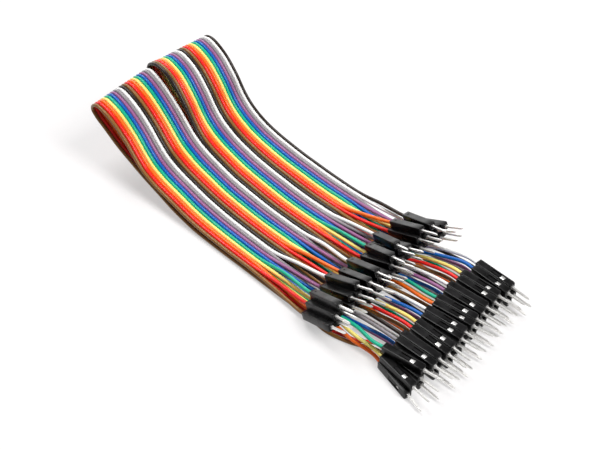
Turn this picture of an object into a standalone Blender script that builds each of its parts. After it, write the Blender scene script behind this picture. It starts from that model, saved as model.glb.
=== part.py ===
# Breadboard jumper cable: forty bonded wires in rainbow order, folded once over themselves,
# with a single-way pin connector on both ends of every wire.
# Metres, +Z up. +X runs from the fold to the connectors and -Y is the near edge of the ribbon.

import math

import bpy
import bmesh
from mathutils import Matrix, Vector

MM = 0.001

# Ribbon
WIRE_DIAMETER = 0.0011
BOND_GAP = 0.00017
WIRE_PITCH = WIRE_DIAMETER + BOND_GAP
WIRE_SIDES_RESOLUTION = 2
TABLE_CLEARANCE = 0.0001
# The cable's own middle lies off the origin, which is the middle of its whole footprint
SHIFT_ALONG = -0.00025
SHIFT_ACROSS = 0.0003

# How many points of a wire's tube lie on each of its stretches. On the ribbon a turn of one
# radian counts like this length of wire, so points lie closer together in bends.
RIBBON_POINTS = 16
UPPER_TAIL_POINTS = 1
LOWER_TAIL_POINTS = 2
CURVE_STEPS = 12
TURN_LENGTH = 0.045

# Connector housing and its male pin
HOUSING_LENGTH = 0.014
HOUSING_WIDTH = 0.00254
PIN_WIDTH = 0.00064
PIN_LENGTH = 0.0068
PIN_TAPER = 0.0009
PIN_TIP_SHARE = 0.45
WIRE_CLEARANCE = 0.0003
WINDOW_LENGTH = 0.0022
WINDOW_WIDTH = 0.0011
WINDOW_DEPTH = 0.0004
WINDOW_FROM_REAR = 0.0091
# First inset of a face, before its inner edges are moved to their real places
INSET = 0.0002

# Bundles: the five wires of a bundle end in five housings that are pressed together
BUNDLE_WIRES = 5
BUNDLE_GAP = 0.0013
BUNDLE_PITCH = 2.0 * HOUSING_WIDTH + BUNDLE_GAP
HOUSING_LAP = 0.00005
SEAT_STEP = HOUSING_WIDTH - HOUSING_LAP
STACK_CLEARANCE = 0.0005

# Straight wire behind a housing, before it bends towards the ribbon
UPPER_LEAD = 0.0024
LOWER_LEAD = 0.004

# Halfway from the ribbon to a housing a wire has made these shares of its way across and up
TAIL_ACROSS = 0.32
UPPER_TAIL_UP = 0.62
LOWER_TAIL_UP = 0.66

# Colours of the ten wires that repeat across the ribbon: red, green, blue, roughness
WIRE_COLOURS = (
    ("brown", (0.20, 0.10, 0.025), 0.42),
    ("red", (0.78, 0.02, 0.018), 0.38),
    ("orange", (0.90, 0.13, 0.015), 0.38),
    ("yellow", (0.92, 0.66, 0.09), 0.38),
    ("green", (0.0, 0.38, 0.18), 0.38),
    ("blue", (0.004, 0.10, 0.50), 0.38),
    ("purple", (0.25, 0.09, 0.24), 0.40),
    ("grey", (0.24, 0.23, 0.24), 0.42),
    ("white", (0.86, 0.85, 0.84), 0.36),
    ("black", (0.022, 0.018, 0.016), 0.40),
)
HOUSING_COLOUR = (0.013, 0.012, 0.014)
HOUSING_ROUGHNESS = 0.48

WIRE_COUNT = 40

# Side view of the folded ribbon at five of its wires, from the upper end over the fold to the
# lower end: distance along X and height of the wire's centre, in millimetres, chosen by eye.
# Around the fold the ribbon is split between the second guide wire and the third.
RIBBON_GUIDES = {
    1: ((2.0, 2.4), (-10.0, 2.5), (-21.0, 3.0), (-30.0, 4.1), (-38.0, 6.0), (-46.0, 7.9),
        (-51.0, 10.0), (-54.6, 12.9), (-59.6, 18.0), (-65.0, 22.0), (-70.5, 24.3), (-74.6, 24.9),
        (-76.9, 23.6), (-77.3, 21.9), (-75.6, 20.0), (-71.3, 17.5), (-65.0, 13.8), (-58.0, 10.7),
        (-50.0, 7.7), (-42.0, 5.0), (-34.0, 2.6), (-26.0, 1.1), (-17.0, 0.65), (0.0, 0.65),
        (14.0, 0.65), (29.0, 0.65)),
    19: ((2.0, 3.4), (-10.0, 3.4), (-21.0, 4.1), (-30.0, 5.2), (-38.0, 6.9), (-46.0, 9.4),
         (-51.0, 12.0), (-54.8, 15.2), (-59.6, 19.9), (-65.0, 24.3), (-70.3, 27.5), (-74.2, 28.5),
         (-76.8, 27.4), (-77.2, 25.6), (-75.9, 23.3), (-71.6, 19.2), (-65.0, 14.6), (-58.0, 10.7),
         (-50.0, 7.7), (-42.0, 5.0), (-34.0, 2.6), (-26.0, 1.1), (-17.0, 0.65), (0.0, 0.65),
         (14.0, 0.65), (29.0, 0.65)),
    20: ((2.0, 3.4), (-10.0, 3.3), (-21.0, 4.1), (-30.0, 5.2), (-38.0, 7.0), (-45.6, 9.4),
         (-50.3, 12.2), (-54.3, 16.9), (-58.5, 22.8), (-63.3, 28.1), (-68.4, 30.9), (-72.8, 31.1),
         (-76.0, 29.7), (-77.1, 27.2), (-76.0, 24.4), (-72.7, 20.2), (-65.2, 14.8), (-58.0, 10.7),
         (-50.0, 7.7), (-42.0, 5.0), (-34.0, 2.6), (-26.0, 1.1), (-17.0, 0.65), (0.0, 0.65),
         (14.0, 0.65), (29.0, 0.65)),
    24: ((2.0, 3.6), (-10.0, 3.5), (-21.0, 4.3), (-30.0, 5.3), (-38.0, 7.0), (-46.0, 9.5),
         (-51.2, 12.2), (-55.3, 16.0), (-59.6, 21.8), (-64.1, 26.7), (-69.0, 29.6), (-73.0, 30.4),
         (-76.2, 29.3), (-77.2, 27.1), (-76.2, 24.4), (-72.6, 20.1), (-65.2, 14.7), (-58.0, 10.7),
         (-50.0, 7.7), (-42.0, 5.0), (-34.0, 2.6), (-26.0, 1.1), (-17.0, 0.65), (0.0, 0.65),
         (14.0, 0.65), (29.0, 0.65)),
    40: ((2.0, 4.5), (-10.0, 4.5), (-21.0, 5.1), (-30.0, 5.9), (-38.0, 7.0), (-46.0, 9.1),
         (-51.8, 12.1), (-56.0, 15.9), (-60.1, 21.4), (-64.6, 26.2), (-69.4, 29.3), (-73.4, 30.4),
         (-76.3, 29.6), (-77.3, 27.6), (-76.4, 24.9), (-72.4, 19.9), (-65.3, 14.6), (-58.0, 10.7),
         (-50.0, 7.7), (-42.0, 5.0), (-34.0, 2.6), (-26.0, 1.1), (-17.0, 0.65), (0.0, 0.65),
         (14.0, 0.65), (29.0, 0.65)),
}

# Wires of the near lower bundle cross under one another: extra route points in millimetres,
# measured across from the middle of the ribbon
CROSSINGS = {
    1: ((37.0, -25.1, 0.65), (45.0, -23.1, 0.65)),
    2: ((37.0, -23.6, 0.65), (45.0, -21.5, 0.70)),
    3: ((37.0, -22.5, 2.3), (45.0, -23.2, 2.4)),
    4: ((37.0, -21.1, 3.0), (45.0, -22.3, 3.9)),
    5: ((37.0, -19.7, 3.4), (45.0, -20.5, 5.4)),
}

# Seats inside a bundle: steps across, steps up, forward in millimetres and turn in degrees
UPPER_SEATS = {
    "low_near": (-0.5, 0, 0.4, -1.0),
    "low_far": (0.5, 0, -0.5, 1.0),
    "mid_near": (-0.42, 1, -0.3, 1.0),
    "mid_far": (0.58, 1, 0.7, 1.0),
    "top_near": (-0.4, 2, 0.0, 0.0),
    "top": (0.1, 2, 0.0, 0.0),
    "top_far": (0.6, 2, 0.0, 0.0),
}
UPPER_CORNER_SEATS = {
    "low_near": (-0.9, 0, 0.0, -1.0),
    "low_far": (0.12, 0, -0.5, 1.0),
    "mid_near": (-0.1, 1, 0.1, 0.0),
    "mid_far": (0.92, 1, -0.6, 1.0),
    "top_far": (0.8, 2, 0.2, -2.0),
}
LOWER_SEATS = {
    "low": (0.0, 0, 0.3, 0.0),
    "mid_near": (-0.5, 1, -0.4, -1.0),
    "mid_far": (0.5, 1, 0.5, 1.0),
    "top_near": (-0.56, 2, 0.2, 0.6),
    "top_far": (0.52, 2, -0.6, 1.4),
}
LOWER_CORNER_SEATS = {
    "low_near": (-0.62, 0, 0.4, -10.0),
    "low_far": (0.5, 0, 0.0, 1.0),
    "mid_near": (-0.5, 1, 0.6, -5.0),
    "mid_far": (0.5, 1, -0.4, 1.0),
    "top": (0.0, 2, -0.4, 4.0),
}

# Lower housings on top of their bundle that have their plain side up
PLAIN_SIDE_UP = (10, 29)

# Each bundle from the near edge to the far one: distance of its rear along X and shift along Y
# in millimetres, heading, tilt and turn of its top housing in degrees, seats of its five wires
UPPER_BUNDLES = (
    (29.5, -1.7, -6.0, 22.0, 1.0, ("low_near", "mid_near", "low_far", "mid_far", "top_far")),
    (27.7, 0.8, -5.0, 23.0, 3.0, ("low_near", "mid_near", "low_far", "top_far", "mid_far")),
    (29.0, 0.3, -3.5, 22.0, -1.5, ("low_near", "mid_near", "top", "mid_far", "low_far")),
    (27.4, 0.3, -4.5, 21.0, -1.5, ("low_near", "mid_near", "low_far", "top_near", "mid_far")),
    (26.7, 0.35, -5.5, 24.0, -5.5, ("low_near", "mid_near", "low_far", "mid_far", "top_far")),
    (24.9, 0.9, -8.0, 26.0, -8.0, ("low_near", "mid_near", "mid_far", "top", "low_far")),
    (24.2, 2.7, -5.5, 23.0, 2.0, ("low_near", "mid_near", "top", "mid_far", "low_far")),
    (24.8, 2.2, 5.0, 22.0, -13.0, ("low_near", "mid_near", "low_far", "mid_far", "top")),
)
LOWER_BUNDLES = (
    (56.8, 1.0, -3.0, 0.0, 7.0, ("low_far", "mid_far", "low_near", "mid_near", "top")),
    (57.1, 0.9, 1.0, 0.0, 0.0, ("mid_near", "low", "top_near", "mid_far", "top_far")),
    (56.9, 1.2, -1.0, 0.0, 0.0, ("mid_near", "top_near", "low", "top_far", "mid_far")),
    (55.4, 0.9, 4.0, 0.0, 0.0, ("top_near", "mid_near", "low", "top_far", "mid_far")),
    (54.3, 0.5, 6.0, 0.0, 0.0, ("mid_near", "low", "top_near", "mid_far", "top_far")),
    (53.0, 0.8, 3.0, 0.0, 0.0, ("mid_near", "top_near", "low", "top_far", "mid_far")),
    (52.4, 1.2, 1.0, 0.0, 0.0, ("mid_near", "top_near", "low", "top_far", "mid_far")),
    (52.7, 1.7, -3.0, 0.0, 0.0, ("top_near", "mid_near", "low", "top_far", "mid_far")),
)


def clear_scene():
    for item in list(bpy.data.objects):
        bpy.data.objects.remove(item, do_unlink=True)


def make_material(name, colour, roughness):
    material = bpy.data.materials.new(name)
    material.use_nodes = True
    shader = material.node_tree.nodes["Principled BSDF"]
    shader.inputs["Base Color"].default_value = (*colour, 1.0)
    shader.inputs["Roughness"].default_value = roughness
    material.diffuse_color = (*colour, 1.0)
    return material


def add_object(name, data, material):
    item = bpy.data.objects.new(name, data)
    data.materials.append(material)
    bpy.context.scene.collection.objects.link(item)
    return item


# Places of the housings

def housing_frames(bundles, base_height, seats_of):
    # Frame of each housing in wire order: origin at the middle of its rear face, +X along its pin
    frames = []
    for number, (rear, shift, heading, tilt, top_turn, seats) in enumerate(bundles):
        middle = (number - (len(bundles) - 1) / 2.0) * BUNDLE_PITCH + shift * MM + SHIFT_ACROSS
        bundle = (
            Matrix.Translation((rear * MM + SHIFT_ALONG, middle, base_height))
            @ Matrix.Rotation(math.radians(heading), 4, "Z")
            @ Matrix.Rotation(math.radians(-tilt), 4, "Y")
        )
        for seat in seats:
            across, up, forward, turn = seats_of(number)[seat]
            if seat.startswith("top"):
                turn += top_turn
            height = HOUSING_WIDTH / 2.0 + up * SEAT_STEP
            place = Matrix.Translation((forward * MM, across * SEAT_STEP, height))
            frames.append(bundle @ place @ Matrix.Rotation(math.radians(turn), 4, "Z"))
    return frames


def upper_seats(number):
    return UPPER_CORNER_SEATS if number == 0 else UPPER_SEATS


def lower_seats(number):
    return LOWER_CORNER_SEATS if number == 0 else LOWER_SEATS


# Wires

def guide_points(wire):
    # Blend the guide wires on either side of this wire
    first = max(guide for guide in RIBBON_GUIDES if guide <= wire)
    last = min(guide for guide in RIBBON_GUIDES if guide >= wire)
    share = (wire - first) / max(last - first, 1)
    y = (wire - (WIRE_COUNT + 1) / 2.0) * WIRE_PITCH + SHIFT_ACROSS
    points = []
    for (x0, z0), (x1, z1) in zip(RIBBON_GUIDES[first], RIBBON_GUIDES[last]):
        x = x0 + (x1 - x0) * share
        z = z0 + (z1 - z0) * share
        points.append(Vector((x * MM + SHIFT_ALONG, y, z * MM)))
    return points


def tail_middle(ribbon_end, lead, climb):
    # A wire climbs to its seat sooner than it moves across, so neighbours don't meet
    point = ribbon_end.lerp(lead, 0.5)
    point.y = ribbon_end.y + (lead.y - ribbon_end.y) * TAIL_ACROSS
    point.z = ribbon_end.z + (lead.z - ribbon_end.z) * climb
    return point


def wire_route(wire, upper, lower):
    ribbon = guide_points(wire)
    upper_lead = upper @ Vector((-UPPER_LEAD, 0.0, 0.0))
    lower_lead = lower @ Vector((-LOWER_LEAD, 0.0, 0.0))
    route = [upper @ Vector((-WIRE_CLEARANCE, 0.0, 0.0)), upper_lead]
    route.append(tail_middle(ribbon[0], upper_lead, UPPER_TAIL_UP))
    route += ribbon
    if wire in CROSSINGS:
        shift = Vector((SHIFT_ALONG, SHIFT_ACROSS, 0.0))
        route += [Vector(place) * MM + shift for place in CROSSINGS[wire]]
    else:
        route.append(tail_middle(ribbon[-1], lower_lead, LOWER_TAIL_UP))
    route += [lower_lead, lower @ Vector((-WIRE_CLEARANCE, 0.0, 0.0))]
    return route


def smooth_curve(route):
    # Centripetal Catmull-Rom curve through the route's points, with even steps between two of them
    ends = [route[0] * 2.0 - route[1]] + list(route) + [route[-1] * 2.0 - route[-2]]
    curve = []
    for index in range(1, len(ends) - 2):
        p0, p1, p2, p3 = ends[index - 1:index + 3]
        t1 = (p1 - p0).length ** 0.5
        t2 = t1 + (p2 - p1).length ** 0.5
        t3 = t2 + (p3 - p2).length ** 0.5
        for step in range(CURVE_STEPS):
            t = t1 + (t2 - t1) * step / CURVE_STEPS
            a1 = p0.lerp(p1, t / t1)
            a2 = p1.lerp(p2, (t - t1) / (t2 - t1))
            a3 = p2.lerp(p3, (t - t2) / (t3 - t2))
            b1 = a1.lerp(a2, t / t2)
            b2 = a2.lerp(a3, (t - t1) / (t3 - t1))
            curve.append(b1.lerp(b2, (t - t1) / (t2 - t1)))
    curve.append(route[-1].copy())
    lowest = WIRE_DIAMETER / 2.0 + TABLE_CLEARANCE
    for point in curve:
        point.z = max(point.z, lowest)
    return curve


def even_steps(weights, count):
    # Indices that part a growing list of weights into even shares, both ends included
    picked = []
    for number in range(count):
        target = weights[-1] * number / (count - 1)
        picked.append(min(range(len(weights)), key=lambda index: abs(weights[index] - target)))
    return picked


def ribbon_stations():
    # The same stations serve all wires, so that bonded neighbours bend alike
    curve = smooth_curve(guide_points(WIRE_COUNT // 2))
    weights = [0.0, (curve[1] - curve[0]).length]
    for before, here, after in zip(curve, curve[1:], curve[2:]):
        turn = (after - here).angle(here - before, 0.0)
        weights.append(weights[-1] + (after - here).length + turn * TURN_LENGTH)
    return even_steps(weights, RIBBON_POINTS)


def tail_points(stretch, count):
    # Inner points of a tail, evenly spaced along it
    weights = [0.0]
    for before, here in zip(stretch, stretch[1:]):
        weights.append(weights[-1] + (here - before).length)
    return [stretch[index] for index in even_steps(weights, count + 2)[1:-1]]


def wire_points(wire, upper, lower):
    route = wire_route(wire, upper, lower)
    curve = smooth_curve(route)
    upper_lead = CURVE_STEPS
    ribbon_start = 3 * CURVE_STEPS
    ribbon_end = ribbon_start + (len(guide_points(wire)) - 1) * CURVE_STEPS
    lower_lead = (len(route) - 2) * CURVE_STEPS
    points = [curve[0], curve[upper_lead]]
    points += tail_points(curve[upper_lead:ribbon_start + 1], UPPER_TAIL_POINTS)
    points += [curve[ribbon_start + station] for station in ribbon_stations()]
    points += tail_points(curve[ribbon_end:lower_lead + 1], LOWER_TAIL_POINTS)
    points += [curve[lower_lead], curve[-1]]
    return points


def make_wire(wire, upper, lower, material):
    colour = WIRE_COLOURS[(wire - 1) % len(WIRE_COLOURS)][0]
    curve = bpy.data.curves.new(f"wire_{wire:02d}_{colour}", "CURVE")
    curve.dimensions = "3D"
    curve.bevel_depth = WIRE_DIAMETER / 2.0
    curve.bevel_resolution = WIRE_SIDES_RESOLUTION
    curve.use_fill_caps = True
    points = wire_points(wire, upper, lower)
    spline = curve.splines.new("POLY")
    spline.points.add(len(points) - 1)
    for slot, point in zip(spline.points, points):
        slot.co = (*point, 1.0)
    return add_object(curve.name, curve, material)


# Connectors

def outermost_face(mesh, direction):
    # The face whose middle lies furthest along a direction
    return max(mesh.faces, key=lambda face: face.calc_center_median().dot(direction))


def shrink_face(mesh, face, width, height):
    # Inset a face and bring the inner one to a width along Y and a height along Z
    bmesh.ops.inset_individual(mesh, faces=[face], thickness=INSET, depth=0.0)
    middle = face.calc_center_median()
    for vert in face.verts:
        vert.co.y = middle.y + math.copysign(width / 2.0, vert.co.y - middle.y)
        vert.co.z = middle.z + math.copysign(height / 2.0, vert.co.z - middle.z)


def push_face(mesh, face, offset, scale=1.0):
    # Extrude a face by an offset and scale its end about its middle
    made = bmesh.ops.extrude_discrete_faces(mesh, faces=[face])["faces"][0]
    middle = made.calc_center_median()
    for vert in made.verts:
        vert.co = middle + (vert.co - middle) * scale + offset
    return made


def cut_window(mesh):
    # Shallow recess in the top face, where the crimp's tongue shows
    top = outermost_face(mesh, Vector((0.0, 0.0, 1.0)))
    bmesh.ops.inset_individual(mesh, faces=[top], thickness=INSET, depth=0.0)
    middle_x = WINDOW_FROM_REAR + WINDOW_LENGTH / 2.0
    for vert in top.verts:
        side = 1.0 if vert.co.x > HOUSING_LENGTH / 2.0 else -1.0
        vert.co.x = middle_x + side * WINDOW_LENGTH / 2.0
        vert.co.y = math.copysign(WINDOW_WIDTH / 2.0, vert.co.y)
    push_face(mesh, top, Vector((0.0, 0.0, -WINDOW_DEPTH)))


def housing_mesh(has_window):
    mesh = bmesh.new()
    bmesh.ops.create_cube(mesh, size=1.0)
    size = (HOUSING_LENGTH, HOUSING_WIDTH, HOUSING_WIDTH)
    bmesh.ops.scale(mesh, vec=size, verts=mesh.verts)
    bmesh.ops.translate(mesh, vec=(HOUSING_LENGTH / 2.0, 0.0, 0.0), verts=mesh.verts)

    front = outermost_face(mesh, Vector((1.0, 0.0, 0.0)))
    shrink_face(mesh, front, PIN_WIDTH, PIN_WIDTH)
    shank = push_face(mesh, front, Vector((PIN_LENGTH - PIN_TAPER, 0.0, 0.0)))
    push_face(mesh, shank, Vector((PIN_TAPER, 0.0, 0.0)), PIN_TIP_SHARE)

    if has_window:
        cut_window(mesh)
    bmesh.ops.recalc_face_normals(mesh, faces=mesh.faces)
    return mesh


def make_housing(name, frame, has_window, material):
    mesh = housing_mesh(has_window)
    data = bpy.data.meshes.new(name)
    mesh.to_mesh(data)
    mesh.free()
    item = add_object(name, data, material)
    item.matrix_world = frame
    return item


def make_bundle(name, frames, windows, material):
    # The first housing takes the others in by Boolean unions, so that a bundle is one solid
    base = make_housing(name, frames[0], windows[0], material)
    for number, frame in enumerate(frames[1:], start=2):
        tool = make_housing(f"{name}_joined_{number}", frame, windows[number - 1], material)
        tool.hide_render = True
        tool.display_type = "WIRE"
        union = base.modifiers.new(f"join_{number}", "BOOLEAN")
        union.operation = "UNION"
        union.object = tool
    return base


def make_bundles(prefix, frames, bundles, window_seats, material):
    for number, bundle in enumerate(bundles):
        first = number * BUNDLE_WIRES
        group = frames[first:first + BUNDLE_WIRES]
        seats = bundle[-1]
        order = sorted(range(BUNDLE_WIRES), key=lambda index: seats[index][:1] != "l")
        windows = [seats[index] in window_seats and first + index + 1 not in PLAIN_SIDE_UP
                   for index in order]
        name = f"{prefix}_connectors_{first + 1:02d}_to_{first + BUNDLE_WIRES:02d}"
        make_bundle(name, [group[index] for index in order], windows, material)


def main():
    clear_scene()
    floor_wire_top = WIRE_DIAMETER + TABLE_CLEARANCE
    upper = housing_frames(UPPER_BUNDLES, floor_wire_top + STACK_CLEARANCE, upper_seats)
    lower = housing_frames(LOWER_BUNDLES, 0.0, lower_seats)

    plastics = [make_material(f"{name}_insulation", colour, roughness)
                for name, colour, roughness in WIRE_COLOURS]
    for wire in range(1, WIRE_COUNT + 1):
        plastic = plastics[(wire - 1) % len(plastics)]
        make_wire(wire, upper[wire - 1], lower[wire - 1], plastic)

    black = make_material("black_housing", HOUSING_COLOUR, HOUSING_ROUGHNESS)
    make_bundles("upper", upper, UPPER_BUNDLES, (), black)
    make_bundles("lower", lower, LOWER_BUNDLES, ("top", "top_near", "top_far"), black)


main()
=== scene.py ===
# Breadboard jumper cable on a white table: forty rainbow wires bonded into one ribbon, folded over
# itself, with a black single-way housing and a plated pin on both ends of every wire.
# The routes and the places of the housings are those of the frame. They are written in millimetres.

import math
import random

import bmesh
import bpy
from mathutils import Matrix, Vector, noise


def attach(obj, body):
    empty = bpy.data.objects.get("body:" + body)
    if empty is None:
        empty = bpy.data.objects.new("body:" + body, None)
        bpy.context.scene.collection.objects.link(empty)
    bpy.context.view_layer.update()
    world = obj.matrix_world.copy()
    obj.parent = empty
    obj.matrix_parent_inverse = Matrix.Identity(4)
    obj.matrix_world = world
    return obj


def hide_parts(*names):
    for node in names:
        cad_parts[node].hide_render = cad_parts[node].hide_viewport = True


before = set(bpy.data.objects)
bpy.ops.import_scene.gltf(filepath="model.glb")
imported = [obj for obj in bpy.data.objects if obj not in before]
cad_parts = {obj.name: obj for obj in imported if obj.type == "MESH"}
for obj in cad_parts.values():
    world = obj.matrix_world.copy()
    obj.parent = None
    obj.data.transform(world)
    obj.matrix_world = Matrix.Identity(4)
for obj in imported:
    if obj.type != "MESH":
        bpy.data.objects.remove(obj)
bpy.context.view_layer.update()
print("frame loaded:", len(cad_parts), "nodes")

mm = 0.001


# View, table and light

photoView = {
    "lookAt": (-4.35, 2.93, 0.0),
    "distance": 395.35,
    "azimuth": 46.63,
    "elevation": 41.4,
    "lens": 72.0,  # on a 36 mm wide sensor
    "sensor": 36.0,
    "clip": (0.01, 10.0),  # nearest and farthest thing seen, in metres
}

studio = {
    "tableHalfWidth": 1.6,
    "tableTint": (0.46, 0.449, 0.450),
    "tableRoughness": 0.9,
    "tableSpecular": 0.1,
    "tableGlow": (0.45, 1.0),  # lifts the open table to white for the eye, more so far away
    "glowReach": (0.16, 1.0),  # distances between which the glow rises
    "ambient": 0.22,
    "wall": 2.5,  # bright wall behind the fold, on top of the ambient light
    "wallSide": (-0.66, 0.75, 0.0),
    "wallWidth": (0.15, 0.85),  # turns from that side between which the wall fades in
    "wallTop": (0.18, 0.48),  # heights between which the wall fades out
    "softboxes": (  # place, width, length, watts
        ((0.72, 0.17, 0.84), 0.34, 0.60, 9.3),
        ((-0.46, 0.10, 0.90), 0.38, 0.72, 6.6),
    ),
}


def makeCamera(settings):
    azimuth, elevation = math.radians(settings["azimuth"]), math.radians(settings["elevation"])
    back = Vector((math.sin(azimuth) * math.cos(elevation), -math.cos(azimuth) * math.cos(elevation),
                   math.sin(elevation)))
    data = bpy.data.cameras.new("photoCamera")
    data.lens = settings["lens"]
    data.sensor_width = settings["sensor"]
    data.clip_start, data.clip_end = settings["clip"]
    camera = bpy.data.objects.new("photoCamera", data)
    camera.location = (Vector(settings["lookAt"]) + back * settings["distance"]) * mm
    camera.rotation_euler = (-back).to_track_quat("-Z", "Y").to_euler()
    bpy.context.scene.collection.objects.link(camera)
    bpy.context.scene.camera = camera


def newMaterial(name):
    material = bpy.data.materials.new(name)
    material.use_nodes = True
    tree = material.node_tree
    return material, tree, tree.nodes["Principled BSDF"]


def seenDirectly(tree):
    # 1 for rays from the camera, mirrors and glass
    path = tree.nodes.new("ShaderNodeLightPath")
    total = path.outputs["Is Camera Ray"]
    for name in ("Is Glossy Ray", "Is Transmission Ray"):
        add = tree.nodes.new("ShaderNodeMath")
        add.operation = "MAXIMUM"
        tree.links.new(total, add.inputs[0])
        tree.links.new(path.outputs[name], add.inputs[1])
        total = add.outputs["Value"]
    return total


def makeTable(settings):
    bm = bmesh.new()
    bmesh.ops.create_grid(bm, x_segments=1, y_segments=1, size=settings["tableHalfWidth"])
    table = meshObject("table", bm)
    material, tree, shader = newMaterial("whiteTable")
    shader.inputs["Base Color"].default_value = (*settings["tableTint"], 1.0)
    shader.inputs["Roughness"].default_value = settings["tableRoughness"]
    shader.inputs["Specular IOR Level"].default_value = settings["tableSpecular"]
    shader.inputs["Emission Color"].default_value = (1.0, 1.0, 1.0, 1.0)
    coordinates = tree.nodes.new("ShaderNodeTexCoord")
    away = tree.nodes.new("ShaderNodeVectorMath")
    away.operation = "LENGTH"
    tree.links.new(coordinates.outputs["Object"], away.inputs[0])
    glow = tree.nodes.new("ShaderNodeMath")
    glow.operation = "MULTIPLY"
    brightness = spread(tree, away.outputs["Value"], *settings["glowReach"], *settings["tableGlow"])
    tree.links.new(seenDirectly(tree), glow.inputs[0])
    tree.links.new(brightness, glow.inputs[1])
    tree.links.new(glow.outputs["Value"], shader.inputs["Emission Strength"])
    table.data.materials.append(material)


def makeLight(settings):
    for number, (place, width, length, watts) in enumerate(settings["softboxes"], start=1):
        data = bpy.data.lights.new(f"softbox{number}", "AREA")
        data.shape = "RECTANGLE"
        data.size = width
        data.size_y = length
        data.energy = watts
        lamp = bpy.data.objects.new(data.name, data)
        lamp.location = place
        lamp.rotation_euler = (-Vector(place)).to_track_quat("-Z", "Y").to_euler()
        bpy.context.scene.collection.objects.link(lamp)
    world = bpy.data.worlds.new("paleRoom")
    world.use_nodes = True
    bpy.context.scene.world = world
    tree = world.node_tree
    background = tree.nodes["Background"]
    direction = tree.nodes.new("ShaderNodeTexCoord")
    split = tree.nodes.new("ShaderNodeSeparateXYZ")
    tree.links.new(direction.outputs["Generated"], split.inputs["Vector"])
    side = tree.nodes.new("ShaderNodeVectorMath")
    side.operation = "DOT_PRODUCT"
    side.inputs[1].default_value = settings["wallSide"]
    tree.links.new(direction.outputs["Generated"], side.inputs[0])
    across = spread(tree, side.outputs["Value"], *settings["wallWidth"], 0.0, settings["wall"])
    upwards = spread(tree, split.outputs["Z"], *settings["wallTop"], 1.0, 0.0)
    wall = tree.nodes.new("ShaderNodeMath")
    wall.operation = "MULTIPLY_ADD"
    wall.inputs[2].default_value = settings["ambient"]
    tree.links.new(across, wall.inputs[0])
    tree.links.new(upwards, wall.inputs[1])
    path = tree.nodes.new("ShaderNodeLightPath")
    strength = tree.nodes.new("ShaderNodeMix")
    strength.inputs["B"].default_value = 1.0
    tree.links.new(wall.outputs["Value"], strength.inputs["A"])
    tree.links.new(path.outputs["Is Camera Ray"], strength.inputs["Factor"])
    tree.links.new(strength.outputs["Result"], background.inputs["Strength"])
    background.inputs["Color"].default_value = (1.0, 1.0, 1.0, 1.0)
    bpy.context.scene.view_settings.view_transform = "Standard"


def meshObject(name, bm):
    mesh = bpy.data.meshes.new(name)
    bm.to_mesh(mesh)
    bm.free()
    item = bpy.data.objects.new(name, mesh)
    bpy.context.scene.collection.objects.link(item)
    return item


# Materials

insulationColours = {  # in the order of the ribbon: colour, roughness
    "Brown": ((0.270, 0.122, 0.028), 0.32),
    "Red": ((0.90, 0.018, 0.014), 0.28),
    "Orange": ((0.97, 0.160, 0.010), 0.28),
    "Yellow": ((0.96, 0.80, 0.20), 0.28),
    "Green": ((0.004, 0.44, 0.265), 0.28),
    "Blue": ((0.001, 0.120, 0.50), 0.28),
    "Purple": ((0.34, 0.120, 0.285), 0.30),
    "Grey": ((0.29, 0.262, 0.282), 0.30),
    "White": ((0.95, 0.945, 0.935), 0.28),
    "Black": ((0.020, 0.011, 0.007), 0.30),
}
colourNames = list(insulationColours)


def noiseNode(tree, coordinates, size, detail):
    node = tree.nodes.new("ShaderNodeTexNoise")
    node.inputs["Scale"].default_value = 1.0 / size
    node.inputs["Detail"].default_value = detail
    tree.links.new(coordinates.outputs["Object"], node.inputs["Vector"])
    return node


def blendColours(tree, factor, first, second):
    mix = tree.nodes.new("ShaderNodeMix")
    mix.data_type = "RGBA"
    mix.inputs["A"].default_value = (*first, 1.0)
    mix.inputs["B"].default_value = (*second, 1.0)
    tree.links.new(factor, mix.inputs["Factor"])
    return mix.outputs["Result"]


def spread(tree, value, fromLow, fromHigh, toLow, toHigh):
    node = tree.nodes.new("ShaderNodeMapRange")
    for socket, number in (("From Min", fromLow), ("From Max", fromHigh),
                           ("To Min", toLow), ("To Max", toHigh)):
        node.inputs[socket].default_value = number
    tree.links.new(value, node.inputs["Value"])
    return node.outputs["Result"]


def roughSurface(tree, shader, height, strength, distance):
    bump = tree.nodes.new("ShaderNodeBump")
    bump.inputs["Strength"].default_value = strength
    bump.inputs["Distance"].default_value = distance
    tree.links.new(height, bump.inputs["Height"])
    tree.links.new(bump.outputs["Normal"], shader.inputs["Normal"])


softPvc = {
    "cloudSize": 0.009,  # slow change of tint along a wire, in metres
    "cloudDepth": 0.06,
    "glossChange": 0.08,
    "ior": 1.52,
    "specular": 0.30,
    "coat": 0.15,
    "coatRoughness": 0.22,
    "grainSize": 0.00022,
    "bump": 0.012,
    "bumpHeight": 0.0001,
}


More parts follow.
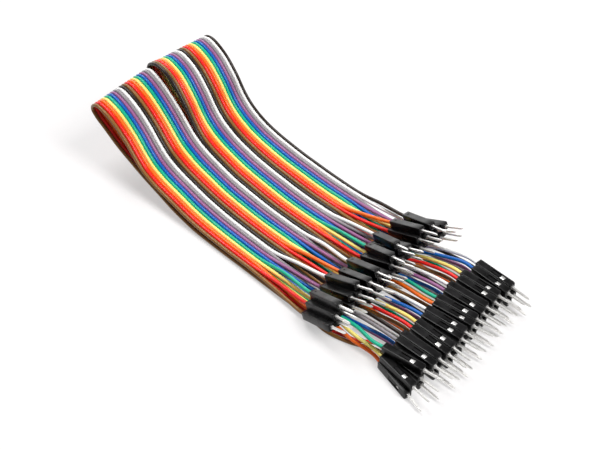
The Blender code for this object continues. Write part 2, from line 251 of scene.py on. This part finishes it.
def insulation(name):
    colour, roughness = insulationColours[name]
    material, tree, shader = newMaterial(f"softPvc{name}")
    coordinates = tree.nodes.new("ShaderNodeTexCoord")
    clouds = noiseNode(tree, coordinates, softPvc["cloudSize"], 3.0)
    grain = noiseNode(tree, coordinates, softPvc["grainSize"], 2.0)
    depth = softPvc["cloudDepth"]
    darker = [channel * (1.0 - depth) for channel in colour]
    lighter = [min(1.0, channel * (1.0 + depth * 0.6) + 0.002) for channel in colour]
    tint = blendColours(tree, spread(tree, clouds.outputs["Fac"], 0.3, 0.7, 0.0, 1.0), darker, lighter)
    tree.links.new(tint, shader.inputs["Base Color"])
    gloss = spread(tree, clouds.outputs["Fac"], 0.3, 0.7, roughness, roughness + softPvc["glossChange"])
    tree.links.new(gloss, shader.inputs["Roughness"])
    shader.inputs["IOR"].default_value = softPvc["ior"]
    shader.inputs["Specular IOR Level"].default_value = softPvc["specular"]
    shader.inputs["Coat Weight"].default_value = softPvc["coat"]
    shader.inputs["Coat Roughness"].default_value = softPvc["coatRoughness"]
    roughSurface(tree, shader, grain.outputs["Fac"], softPvc["bump"], softPvc["bumpHeight"])
    return material


mouldedNylon = {
    "colour": (0.0012, 0.0010, 0.0012),
    "worn": (0.010, 0.009, 0.011),
    "wear": 0.55,
    "smearSize": 0.0035,
    "roughness": (0.25, 0.40),
    "ior": 1.53,
    "specular": 0.27,
    "grainSize": 0.00016,
    "bump": 0.14,
    "bumpHeight": 0.00004,
}


def housingPlastic():
    material, tree, shader = newMaterial("mouldedNylon")
    coordinates = tree.nodes.new("ShaderNodeTexCoord")
    smears = noiseNode(tree, coordinates, mouldedNylon["smearSize"], 4.0)
    grain = noiseNode(tree, coordinates, mouldedNylon["grainSize"], 2.0)
    dust = spread(tree, smears.outputs["Fac"], 0.48, 0.85, 0.0, mouldedNylon["wear"])
    tint = blendColours(tree, dust, mouldedNylon["colour"], mouldedNylon["worn"])
    tree.links.new(tint, shader.inputs["Base Color"])
    gloss = spread(tree, smears.outputs["Fac"], 0.3, 0.7, *mouldedNylon["roughness"])
    tree.links.new(gloss, shader.inputs["Roughness"])
    shader.inputs["IOR"].default_value = mouldedNylon["ior"]
    shader.inputs["Specular IOR Level"].default_value = mouldedNylon["specular"]
    roughSurface(tree, shader, grain.outputs["Fac"], mouldedNylon["bump"], mouldedNylon["bumpHeight"])
    return material


tinPlate = {
    "bright": (0.94, 0.93, 0.91),
    "dull": (0.78, 0.76, 0.72),
    "dullShare": 0.5,
    "stainSize": 0.0016,
    "roughness": (0.37, 0.50),
    "grainSize": 0.00012,
    "bump": 0.15,
    "bumpHeight": 0.00003,
}


def platedMetal():
    material, tree, shader = newMaterial("tinPlate")
    coordinates = tree.nodes.new("ShaderNodeTexCoord")
    stains = noiseNode(tree, coordinates, tinPlate["stainSize"], 4.0)
    grain = noiseNode(tree, coordinates, tinPlate["grainSize"], 2.0)
    stained = spread(tree, stains.outputs["Fac"], 0.5, 0.8, 0.0, tinPlate["dullShare"])
    tint = blendColours(tree, stained, tinPlate["bright"], tinPlate["dull"])
    tree.links.new(tint, shader.inputs["Base Color"])
    gloss = spread(tree, stains.outputs["Fac"], 0.3, 0.7, *tinPlate["roughness"])
    tree.links.new(gloss, shader.inputs["Roughness"])
    shader.inputs["Metallic"].default_value = 1.0
    roughSurface(tree, shader, grain.outputs["Fac"], tinPlate["bump"], tinPlate["bumpHeight"])
    return material


# Places of the housings

housing = {
    "length": 14.0, "width": 2.54, "corner": 0.15,
    "noseLength": 0.45, "noseTaper": 0.90,
    "rearHole": 1.78, "rearDepth": 4.2, "frontHole": 1.42, "frontDepth": 1.2,
    "stepAt": 5.7, "windowAt": 9.1, "windowLength": 1.75, "tongueHalf": 0.56, "slotHalf": 0.76,
    "slotDepth": 0.60, "tongueDrop": 0.11, "tongueTipDrop": 0.06,
    "dimpleAt": 1.75, "dimpleRadius": 0.36, "dimpleDepth": 0.14, "dimpleRim": 0.05,
    "dimpleDraft": 0.2,  # share by which the dimple's floor is smaller than its mouth
    "sharpAngle": 25.0,
}

stacks = {
    "lap": 0.05,  # neighbours in a bundle press together
    "bundleGap": 1.3,
    "bundleWires": 5,
    "shift": Vector((-0.25, 0.3, 0.0)),  # of the whole cable
    "upperLift": 1.7,  # the upper bundles lie on the wires below
    "upperSeats": {  # steps across, steps up, forward, turn in degrees
        "lowNear": (-0.5, 0, 0.4, -1.0), "lowFar": (0.5, 0, -0.5, 1.0),
        "midNear": (-0.42, 1, -0.3, 1.0), "midFar": (0.58, 1, 0.7, 1.0),
        "topNear": (-0.4, 2, 0.0, 0.0), "top": (0.1, 2, 0.0, 0.0), "topFar": (0.6, 2, 0.0, 0.0),
    },
    "upperCorner": {
        "lowNear": (-0.9, 0, 0.0, -1.0), "lowFar": (0.12, 0, -0.5, 1.0),
        "midNear": (-0.1, 1, 0.1, 0.0), "midFar": (0.92, 1, -0.6, 1.0),
        "topFar": (0.8, 2, 0.2, -2.0),
    },
    "lowerSeats": {
        "low": (0.0, 0, 0.3, 0.0), "midNear": (-0.5, 1, -0.4, -1.0), "midFar": (0.5, 1, 0.5, 1.0),
        "topNear": (-0.56, 2, 0.2, 0.6), "topFar": (0.52, 2, -0.6, 1.4),
    },
    "lowerCorner": {
        "lowNear": (-0.62, 0, 0.4, -10.0), "lowFar": (0.5, 0, 0.0, 1.0),
        "midNear": (-0.5, 1, 0.6, -5.0), "midFar": (0.5, 1, -0.4, 1.0), "top": (0.0, 2, -0.4, 4.0),
    },
    "upper": (  # rear along X, shift, heading, tilt, turn of the top housing, seats of five wires
        (29.5, -1.7, -6.0, 22.0, 1.0, ("lowNear", "midNear", "lowFar", "midFar", "topFar")),
        (27.7, 0.8, -5.0, 23.0, 3.0, ("lowNear", "midNear", "lowFar", "topFar", "midFar")),
        (29.0, 0.3, -3.5, 22.0, -1.5, ("lowNear", "midNear", "top", "midFar", "lowFar")),
        (27.4, 0.3, -4.5, 21.0, -1.5, ("lowNear", "midNear", "lowFar", "topNear", "midFar")),
        (26.7, 0.35, -5.5, 24.0, -5.5, ("lowNear", "midNear", "lowFar", "midFar", "topFar")),
        (24.9, 0.9, -8.0, 26.0, -8.0, ("lowNear", "midNear", "midFar", "top", "lowFar")),
        (24.2, 2.7, -5.5, 23.0, 2.0, ("lowNear", "midNear", "top", "midFar", "lowFar")),
        (24.8, 2.2, 5.0, 22.0, -13.0, ("lowNear", "midNear", "lowFar", "midFar", "top")),
    ),
    "lower": (
        (56.8, 1.0, -3.0, 0.0, 7.0, ("lowFar", "midFar", "lowNear", "midNear", "top")),
        (57.1, 0.9, 1.0, 0.0, 0.0, ("midNear", "low", "topNear", "midFar", "topFar")),
        (56.9, 1.2, -1.0, 0.0, 0.0, ("midNear", "topNear", "low", "topFar", "midFar")),
        (55.4, 0.9, 4.0, 0.0, 0.0, ("topNear", "midNear", "low", "topFar", "midFar")),
        (54.3, 0.5, 6.0, 0.0, 0.0, ("midNear", "low", "topNear", "midFar", "topFar")),
        (53.0, 0.8, 3.0, 0.0, 0.0, ("midNear", "topNear", "low", "topFar", "midFar")),
        (52.4, 1.2, 1.0, 0.0, 0.0, ("midNear", "topNear", "low", "topFar", "midFar")),
        (52.7, 1.7, -3.0, 0.0, 0.0, ("topNear", "midNear", "low", "topFar", "midFar")),
    ),
}


def turned(degrees, axis):
    return Matrix.Rotation(math.radians(degrees), 4, axis)


def housingPlaces(end, lift):
    # One matrix per wire: origin in the middle of the housing's rear, +X along its pin
    bundles = stacks[end]
    step = housing["width"] - stacks["lap"]
    pitch = 2.0 * housing["width"] + stacks["bundleGap"]
    places = []
    for number, (rear, shift, heading, tilt, topTurn, seats) in enumerate(bundles):
        middle = (number - (len(bundles) - 1) / 2.0) * pitch + shift
        bundle = Matrix.Translation(Vector((rear, middle, lift)) + stacks["shift"])
        bundle = bundle @ turned(heading, "Z") @ turned(-tilt, "Y")
        table = stacks[end + ("Corner" if number == 0 else "Seats")]
        for seat in seats:
            across, level, forward, turn = table[seat]
            turn += topTurn if seat.startswith("top") else 0.0
            offset = Vector((forward, across * step, housing["width"] / 2.0 + level * step))
            places.append(bundle @ Matrix.Translation(offset) @ turned(turn, "Z"))
    return places


# Routes of the wires

ribbon = {
    "wires": 40,
    "pitch": 1.27,
    "diameter": 1.2,
    "lastNear": 19,  # the ribbon is split between this wire and the next
    "splitBetween": (5, 18),  # guide points where the split opens and closes
    "steps": 8,  # between two guide points
    "roundness": 6,  # of a wire's section
    "webThickness": 0.14,
    "ripple": 0.13,  # natural waviness of the layers
    "rippleAlong": 0.11, "rippleAcross": 0.14, "rippleStart": 3.7,
    "rippleFade": 20.0,  # steps over which it fades at both ends
    "tableGap": 0.02,
    "cordLength": 0.26,  # of a whole wire, in metres
    "insideHousing": 2.6,
    "upperLead": 2.4, "lowerLead": 4.0,
    "across": 0.32, "upperClimb": 0.62, "lowerClimb": 0.66,
    "guides": {  # x and z of five wires, from the upper end over the fold to the lower end
        1: ((2.0, 2.4), (-10.0, 2.5), (-21.0, 3.0), (-30.0, 4.1), (-38.0, 6.0), (-46.0, 7.9),
            (-51.0, 10.0), (-54.6, 12.9), (-59.6, 18.0), (-65.0, 22.0), (-70.5, 24.3),
            (-74.6, 24.9), (-76.9, 23.6), (-77.3, 21.9), (-75.6, 20.0), (-71.3, 17.5),
            (-65.0, 13.8), (-58.0, 10.7), (-50.0, 7.7), (-42.0, 5.0), (-34.0, 2.6), (-26.0, 1.1),
            (-17.0, 0.65), (0.0, 0.65), (14.0, 0.65), (29.0, 0.65)),
        19: ((2.0, 3.4), (-10.0, 3.4), (-21.0, 4.1), (-30.0, 5.2), (-38.0, 6.9), (-46.0, 9.4),
             (-51.0, 12.0), (-54.8, 15.2), (-59.6, 19.9), (-65.0, 24.3), (-70.3, 27.5),
             (-74.2, 28.5), (-76.8, 27.4), (-77.2, 25.6), (-75.9, 23.3), (-71.6, 19.2),
             (-65.0, 14.6), (-58.0, 10.7), (-50.0, 7.7), (-42.0, 5.0), (-34.0, 2.6), (-26.0, 1.1),
             (-17.0, 0.65), (0.0, 0.65), (14.0, 0.65), (29.0, 0.65)),
        20: ((2.0, 3.4), (-10.0, 3.3), (-21.0, 4.1), (-30.0, 5.2), (-38.0, 7.0), (-45.6, 9.4),
             (-50.3, 12.2), (-54.3, 16.9), (-58.5, 22.8), (-63.3, 28.1), (-68.4, 30.9),
             (-72.8, 31.1), (-76.0, 29.7), (-77.1, 27.2), (-76.0, 24.4), (-72.7, 20.2),
             (-65.2, 14.8), (-58.0, 10.7), (-50.0, 7.7), (-42.0, 5.0), (-34.0, 2.6), (-26.0, 1.1),
             (-17.0, 0.65), (0.0, 0.65), (14.0, 0.65), (29.0, 0.65)),
        24: ((2.0, 3.6), (-10.0, 3.5), (-21.0, 4.3), (-30.0, 5.3), (-38.0, 7.0), (-46.0, 9.5),
             (-51.2, 12.2), (-55.3, 16.0), (-59.6, 21.8), (-64.1, 26.7), (-69.0, 29.6),
             (-73.0, 30.4), (-76.2, 29.3), (-77.2, 27.1), (-76.2, 24.4), (-72.6, 20.1),
             (-65.2, 14.7), (-58.0, 10.7), (-50.0, 7.7), (-42.0, 5.0), (-34.0, 2.6), (-26.0, 1.1),
             (-17.0, 0.65), (0.0, 0.65), (14.0, 0.65), (29.0, 0.65)),
        40: ((2.0, 4.5), (-10.0, 4.5), (-21.0, 5.1), (-30.0, 5.9), (-38.0, 7.0), (-46.0, 9.1),
             (-51.8, 12.1), (-56.0, 15.9), (-60.1, 21.4), (-64.6, 26.2), (-69.4, 29.3),
             (-73.4, 30.4), (-76.3, 29.6), (-77.3, 27.6), (-76.4, 24.9), (-72.4, 19.9),
             (-65.3, 14.6), (-58.0, 10.7), (-50.0, 7.7), (-42.0, 5.0), (-34.0, 2.6), (-26.0, 1.1),
             (-17.0, 0.65), (0.0, 0.65), (14.0, 0.65), (29.0, 0.65)),
    },
    "crossings": {  # the near wires cross on their way to the lower housings
        1: ((37.0, -25.1, 0.65), (45.0, -23.1, 0.65)),
        2: ((37.0, -23.6, 0.65), (45.0, -21.5, 0.70)),
        3: ((37.0, -22.5, 2.3), (45.0, -23.2, 2.4)),
        4: ((37.0, -21.1, 3.0), (45.0, -22.3, 3.9)),
        5: ((37.0, -19.7, 3.4), (45.0, -20.5, 5.4)),
    },
}


def guideLine(wire):
    first = max(guide for guide in ribbon["guides"] if guide <= wire)
    last = min(guide for guide in ribbon["guides"] if guide >= wire)
    share = (wire - first) / max(last - first, 1)
    y = (wire - (ribbon["wires"] + 1) / 2.0) * ribbon["pitch"]
    return [Vector((x0 + (x1 - x0) * share, y, z0 + (z1 - z0) * share)) + stacks["shift"]
            for (x0, z0), (x1, z1) in zip(ribbon["guides"][first], ribbon["guides"][last])]


def tailMiddle(ribbonEnd, lead, climb):
    point = ribbonEnd.lerp(lead, 0.5)
    point.y = ribbonEnd.y + (lead.y - ribbonEnd.y) * ribbon["across"]
    point.z = ribbonEnd.z + (lead.z - ribbonEnd.z) * climb
    return point


def wireRoute(wire, upper, lower):
    line = guideLine(wire)
    upperLead = upper @ Vector((-ribbon["upperLead"], 0.0, 0.0))
    lowerLead = lower @ Vector((-ribbon["lowerLead"], 0.0, 0.0))
    inside = Vector((ribbon["insideHousing"], 0.0, 0.0))
    route = [upper @ inside, upper.translation.copy(), upperLead]
    route.append(tailMiddle(line[0], upperLead, ribbon["upperClimb"]))
    ribbonStart = len(route)
    route += line
    ribbonEnd = len(route) - 1
    if wire in ribbon["crossings"]:
        route += [Vector(place) + stacks["shift"] for place in ribbon["crossings"][wire]]
    else:
        route.append(tailMiddle(line[-1], lowerLead, ribbon["lowerClimb"]))
    route += [lowerLead, lower.translation.copy(), lower @ inside]
    return route, ribbonStart, ribbonEnd


def smoothLine(route):
    # Centripetal Catmull-Rom curve through the route's points
    ends = [route[0] * 2.0 - route[1]] + route + [route[-1] * 2.0 - route[-2]]
    line = []
    for p0, p1, p2, p3 in zip(ends, ends[1:], ends[2:], ends[3:]):
        t1 = (p1 - p0).length ** 0.5
        t2 = t1 + (p2 - p1).length ** 0.5
        t3 = t2 + (p3 - p2).length ** 0.5
        for step in range(ribbon["steps"]):
            t = t1 + (t2 - t1) * step / ribbon["steps"]
            a1 = p0.lerp(p1, t / t1)
            a2 = p1.lerp(p2, (t - t1) / (t2 - t1))
            a3 = p2.lerp(p3, (t - t2) / (t3 - t2))
            b1 = a1.lerp(a2, t / t2)
            b2 = a2.lerp(a3, (t - t1) / (t3 - t1))
            line.append(b1.lerp(b2, (t - t1) / (t2 - t1)))
    line.append(route[-1].copy())
    return line


def wireLine(wire, upper, lower):
    # The whole line of a wire, and where in it the bonded stretch starts and ends
    route, ribbonStart, ribbonEnd = wireRoute(wire, upper, lower)
    line = smoothLine(route)
    start, end = ribbonStart * ribbon["steps"], ribbonEnd * ribbon["steps"]
    lowest = ribbon["diameter"] / 2.0 + ribbon["tableGap"]
    for index in range(start, end + 1):
        fade = min(1.0, (index - start) / ribbon["rippleFade"], (end - index) / ribbon["rippleFade"])
        place = Vector((index * ribbon["rippleAlong"], wire * ribbon["rippleAcross"],
                        ribbon["rippleStart"]))
        line[index].z += ribbon["ripple"] * fade * noise.noise(place)
    for point in line:
        point.z = max(point.z, lowest)
    return line, start, end


def makeWire(wire, line, material):
    colour = colourNames[(wire - 1) % len(colourNames)]
    curve = bpy.data.curves.new(f"wire{wire:02d}{colour}", "CURVE")
    curve.dimensions = "3D"
    curve.bevel_depth = ribbon["diameter"] / 2.0 * mm
    curve.bevel_resolution = ribbon["roundness"]
    curve.use_fill_caps = True
    spline = curve.splines.new("POLY")
    spline.points.add(len(line) - 1)
    for slot, point in zip(spline.points, line):
        slot.co = (*(point * mm), 1.0)
    spline.use_smooth = True
    curve.materials.append(material)
    item = bpy.data.objects.new(curve.name, curve)
    bpy.context.scene.collection.objects.link(item)
    node = f"wire_{wire:02d}_{colour.lower()}"
    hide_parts(node)
    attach(item, "root")
    return item


def makeWeb(name, wires, stretches, plastics):
    # The thin skin that bonds neighbouring wires: one sheet through their middles
    length = len(stretches[wires[0]])
    bm = bmesh.new()
    bmesh.ops.create_grid(bm, x_segments=length - 1, y_segments=len(wires) - 1, size=1.0)
    bm.verts.ensure_lookup_table()
    for index, vert in enumerate(bm.verts):
        row, column = divmod(index, length)
        vert.co = stretches[wires[row]][column] * mm
    bm.faces.ensure_lookup_table()
    for index, face in enumerate(bm.faces):
        row = index // (length - 1)
        face.material_index = (wires[row] - 1) % len(colourNames)
        face.smooth = True
    web = meshObject(name, bm)
    for plastic in plastics:
        web.data.materials.append(plastic)
    skin = web.modifiers.new("webThickness", "SOLIDIFY")
    skin.thickness = ribbon["webThickness"] * mm
    skin.offset = 0.0
    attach(web, "root")


# Housings and contacts

def sliceAt(bm, axis, place):
    normal = Vector((0.0, 0.0, 0.0))
    normal[axis] = 1.0
    bmesh.ops.bisect_plane(bm, geom=bm.verts[:] + bm.edges[:] + bm.faces[:], dist=0.0001,
                           plane_co=normal * place, plane_no=normal)


def faceTowards(bm, direction):
    return max(bm.faces, key=lambda face: face.calc_center_median().dot(direction))


def boreEnd(bm, direction, width, depth):
    # A square hole in one end
    face = faceTowards(bm, direction)
    bmesh.ops.inset_individual(bm, faces=[face], thickness=0.1)
    for vert in face.verts:
        vert.co.y = math.copysign(width / 2.0, vert.co.y)
        vert.co.z = math.copysign(width / 2.0, vert.co.z)
    inner = bmesh.ops.extrude_discrete_faces(bm, faces=[face])["faces"][0]
    bmesh.ops.translate(bm, verts=inner.verts, vec=direction * -depth)


def faceSpan(bm, side, low, high):
    # Faces of the top or bottom whose middles lie between two corners
    picked = []
    for face in bm.faces:
        middle = face.calc_center_median()
        onSide = abs(middle.z - side * housing["width"] / 2.0) < 0.001
        if onSide and low[0] < middle.x < high[0] and low[1] < middle.y < high[1]:
            picked.append(face)
    return picked


def pushDown(bm, faces, depth, side=1.0):
    made = bmesh.ops.extrude_face_region(bm, geom=faces)["geom"]
    verts = [item for item in made if isinstance(item, bmesh.types.BMVert)]
    bmesh.ops.delete(bm, geom=faces, context="FACES_ONLY")
    bmesh.ops.translate(bm, verts=verts, vec=(0.0, 0.0, -depth * side))
    return [item for item in made if isinstance(item, bmesh.types.BMFace)]


def housingShape():
    length, width = housing["length"], housing["width"]
    tongue, slot = housing["tongueHalf"], housing["slotHalf"]
    stepAt, windowAt = housing["stepAt"], housing["windowAt"]
    windowEnd = windowAt + housing["windowLength"]
    bm = bmesh.new()
    bmesh.ops.create_cube(bm, size=1.0)
    bmesh.ops.scale(bm, vec=(length, width, width), verts=bm.verts)
    bmesh.ops.translate(bm, vec=(length / 2.0, 0.0, 0.0), verts=bm.verts)
    bmesh.ops.bevel(bm, geom=bm.edges[:], offset=housing["corner"], segments=2, profile=0.5,
                    affect="EDGES", material=-1)
    boreEnd(bm, Vector((-1.0, 0.0, 0.0)), housing["rearHole"], housing["rearDepth"])
    boreEnd(bm, Vector((1.0, 0.0, 0.0)), housing["frontHole"], housing["frontDepth"])
    sliceAt(bm, 0, length - housing["noseLength"])
    nose = [v for v in bm.verts if v.co.x > length - housing["noseLength"] + 0.01
            and max(abs(v.co.y), abs(v.co.z)) > housing["frontHole"] / 2.0 + 0.01]
    bmesh.ops.scale(bm, vec=(1.0, housing["noseTaper"], housing["noseTaper"]), verts=nose)

    for place in (stepAt, windowAt, windowEnd):
        sliceAt(bm, 0, place)
    for place in (-slot, -tongue, tongue, slot):
        sliceAt(bm, 1, place)
    cut = faceSpan(bm, 1.0, (windowAt, -slot), (windowEnd, slot))
    cut += faceSpan(bm, 1.0, (stepAt, -slot), (windowAt, -tongue))
    cut += faceSpan(bm, 1.0, (stepAt, tongue), (windowAt, slot))
    pushDown(bm, cut, housing["slotDepth"])
    latch = pushDown(bm, faceSpan(bm, 1.0, (stepAt, -tongue), (windowAt, tongue)), housing["tongueDrop"])
    latchEnd = [v for face in latch for v in face.verts if v.co.x > windowAt - 0.01]
    bmesh.ops.translate(bm, verts=list(set(latchEnd)), vec=(0.0, 0.0, -housing["tongueTipDrop"]))

    dimple, radius = housing["dimpleAt"], housing["dimpleRadius"]
    for place in (dimple - radius * 1.3, dimple + radius * 1.3):
        sliceAt(bm, 0, place)
    spot = faceSpan(bm, -1.0, (dimple - radius, -tongue), (dimple + radius, tongue))
    bmesh.ops.inset_individual(bm, faces=spot, thickness=housing["dimpleRim"])
    rim = list({edge for face in spot for edge in face.edges})
    bmesh.ops.subdivide_edges(bm, edges=rim, cuts=3)
    centre = Vector((dimple, 0.0, -width / 2.0))
    for face in spot:
        for vert in face.verts:
            ray = vert.co - centre
            vert.co = centre + ray.normalized() * radius
    floor = pushDown(bm, spot, housing["dimpleDepth"], -1.0)
    for face in floor:
        for vert in face.verts:
            vert.co = vert.co.lerp(Vector((dimple, 0.0, vert.co.z)), housing["dimpleDraft"])
    bmesh.ops.recalc_face_normals(bm, faces=bm.faces)
    return bm


contact = {
    "pin": 0.64, "pinLength": 6.8, "tip": 0.9, "tipShare": 0.45, "pinCorner": 0.05,
    "box": 1.12, "boxFrom": 12.7, "boxTo": 13.95, "neckEnd": 14.75,
    "plateDrop": 0.20, "plateThickness": 0.5, "plateWidth": 1.34,
    "plateGap": 0.12,  # by which the plate is shorter than the window
    "plateCorner": 0.07,
    "crimpFrom": 0.7, "crimpTo": 2.3, "crimpRadius": 0.72, "crimpWall": 0.09,
    "bend": 1.6,  # most degrees that a pin leans
    "sharpAngle": 40.0,
}


def contactShape():
    # A tapered box with the square pin, the plate under the window, and the crimp round the wire
    bm = bmesh.new()
    boxLength = contact["boxTo"] - contact["boxFrom"]
    bmesh.ops.create_cube(bm, size=1.0)
    bmesh.ops.scale(bm, vec=(boxLength, contact["box"], contact["box"]), verts=bm.verts)
    bmesh.ops.translate(bm, vec=(contact["boxFrom"] + boxLength / 2.0, 0.0, 0.0), verts=bm.verts)
    pinEnd = housing["length"] + contact["pinLength"]
    front = faceTowards(bm, Vector((1.0, 0.0, 0.0)))
    steps = ((contact["neckEnd"], contact["pin"]), (pinEnd - contact["tip"], contact["pin"]),
             (pinEnd, contact["pin"] * contact["tipShare"]))
    for x, width in steps:
        front = bmesh.ops.extrude_discrete_faces(bm, faces=[front])["faces"][0]
        for vert in front.verts:
            vert.co = (x, math.copysign(width / 2.0, vert.co.y), math.copysign(width / 2.0, vert.co.z))
    along = [e for e in bm.edges if abs(e.verts[0].co.x - e.verts[1].co.x) > 0.1]
    bmesh.ops.bevel(bm, geom=along, offset=contact["pinCorner"], segments=1, profile=0.5,
                    affect="EDGES", material=-1)

    plate = bmesh.ops.create_cube(bm, size=1.0)["verts"]
    plateLength = housing["windowLength"] - contact["plateGap"]
    size = (plateLength, contact["plateWidth"], contact["plateThickness"])
    bmesh.ops.scale(bm, vec=size, verts=plate)
    plateEdges = list({edge for vert in plate for edge in vert.link_edges})
    height = housing["width"] / 2.0 - contact["plateDrop"] - contact["plateThickness"] / 2.0
    place = Vector((housing["windowAt"] + housing["windowLength"] / 2.0, 0.0, height))
    bmesh.ops.translate(bm, vec=place, verts=plate)
    bmesh.ops.bevel(bm, geom=plateEdges, offset=contact["plateCorner"], segments=2, profile=0.5,
                    affect="EDGES", material=-1)

    crimpLength = contact["crimpTo"] - contact["crimpFrom"]
    crimp = bmesh.ops.create_cone(bm, cap_ends=False, segments=12, radius1=contact["crimpRadius"],
                                  radius2=contact["crimpRadius"], depth=crimpLength)["verts"]
    bmesh.ops.rotate(bm, verts=crimp, cent=(0.0, 0.0, 0.0), matrix=turned(90.0, "Y").to_3x3())
    bmesh.ops.translate(bm, verts=crimp, vec=(contact["crimpFrom"] + crimpLength / 2.0, 0.0, 0.0))
    sleeve = list({face for vert in crimp for face in vert.link_faces})
    bmesh.ops.solidify(bm, geom=sleeve, thickness=-contact["crimpWall"])
    bmesh.ops.recalc_face_normals(bm, faces=bm.faces)
    return bm


def gather(name, shape, matrices, material, sharpAngle):
    # Copies of one shape in one mesh, each brought to its place
    template = bpy.data.meshes.new("template")
    shape.to_mesh(template)
    bm = bmesh.new()
    for matrix in matrices:
        before = len(bm.verts)
        bm.from_mesh(template)
        bm.verts.ensure_lookup_table()
        bmesh.ops.transform(bm, matrix=Matrix.Scale(mm, 4) @ matrix, verts=bm.verts[before:])
    bpy.data.meshes.remove(template)
    item = meshObject(name, bm)
    item.data.shade_smooth()
    item.data.set_sharp_from_angle(angle=math.radians(sharpAngle))
    item.data.materials.append(material)
    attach(item, "root")
    return item


rolls = {"upper": 180.0, "lower": 0.0, "corner": 90.0}  # the corner's window faces the near side
plainSideUp = (10, 29)  # lower housings on top of their bundle without a window in sight


def makeBundles(end, places, plastic, metal):
    # One piece with five housings and one with their contacts, for each bundle
    picked = random.Random(f"{end} pins")
    housingMesh, contactMesh = housingShape(), contactShape()
    made = {}
    for number, bundle in enumerate(stacks[end]):
        first = number * stacks["bundleWires"]
        wires = range(first + 1, first + stacks["bundleWires"] + 1)
        bodies, pins = [], []
        for wire, seat in zip(wires, bundle[-1]):
            side = end
            if end == "lower" and wire in plainSideUp:
                side = "upper"
            if end == "lower" and number == 0 and seat == "lowNear":
                side = "corner"
            place = places[wire - 1] @ turned(rolls[side], "X")
            bodies.append(place)
            lean = (turned(picked.uniform(-1.0, 1.0) * contact["bend"], "Z")
                    @ turned(picked.uniform(-1.0, 1.0) * contact["bend"], "Y"))
            pivot = Matrix.Translation((housing["length"], 0.0, 0.0))
            pins.append(place @ pivot @ lean @ pivot.inverted())
        label = f"{wires[0]:02d}to{wires[-1]:02d}"
        shells = gather(f"{end}Housings{label}", housingMesh, bodies, plastic,
                        housing["sharpAngle"])
        metals = gather(f"{end}Contacts{label}", contactMesh, pins, metal,
                        contact["sharpAngle"])
        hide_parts(f"{end}_connectors_{wires[0]:02d}_to_{wires[-1]:02d}")
        for wire in wires:
            made[wire] = [shells, metals]
    housingMesh.free()
    contactMesh.free()
    return made


makeCamera(photoView)
makeTable(studio)
makeLight(studio)
print("camera, table and lights made")

plastics = [insulation(name) for name in colourNames]
blackPlastic = housingPlastic()
tin = platedMetal()
print("materials made:", len(plastics) + 2)

upperPlaces = housingPlaces("upper", stacks["upperLift"])
lowerPlaces = housingPlaces("lower", 0.0)
upperPieces = makeBundles("upper", upperPlaces, blackPlastic, tin)
lowerPieces = makeBundles("lower", lowerPlaces, blackPlastic, tin)
print("housings made:", len(upperPieces) + len(lowerPieces))

stretches = {}
for wire in range(1, ribbon["wires"] + 1):
    line, start, end = wireLine(wire, upperPlaces[wire - 1], lowerPlaces[wire - 1])
    stretches[wire] = line[start:end + 1]
    piece = makeWire(wire, line, plastics[(wire - 1) % len(plastics)])
print("wires made:", len(stretches))

nearWires = list(range(1, ribbon["lastNear"] + 1))
farWires = list(range(ribbon["lastNear"] + 1, ribbon["wires"] + 1))
makeWeb("nearWeb", nearWires, stretches, plastics)
makeWeb("farWeb", farWires, stretches, plastics)
splitStart, splitEnd = [guide * ribbon["steps"] for guide in ribbon["splitBetween"]]
middleWires = [nearWires[-1], farWires[0]]
makeWeb("upperMiddleWeb", middleWires, {w: stretches[w][:splitStart] for w in middleWires}, plastics)
makeWeb("lowerMiddleWeb", middleWires, {w: stretches[w][splitEnd:] for w in middleWires}, plastics)
print("webs made")
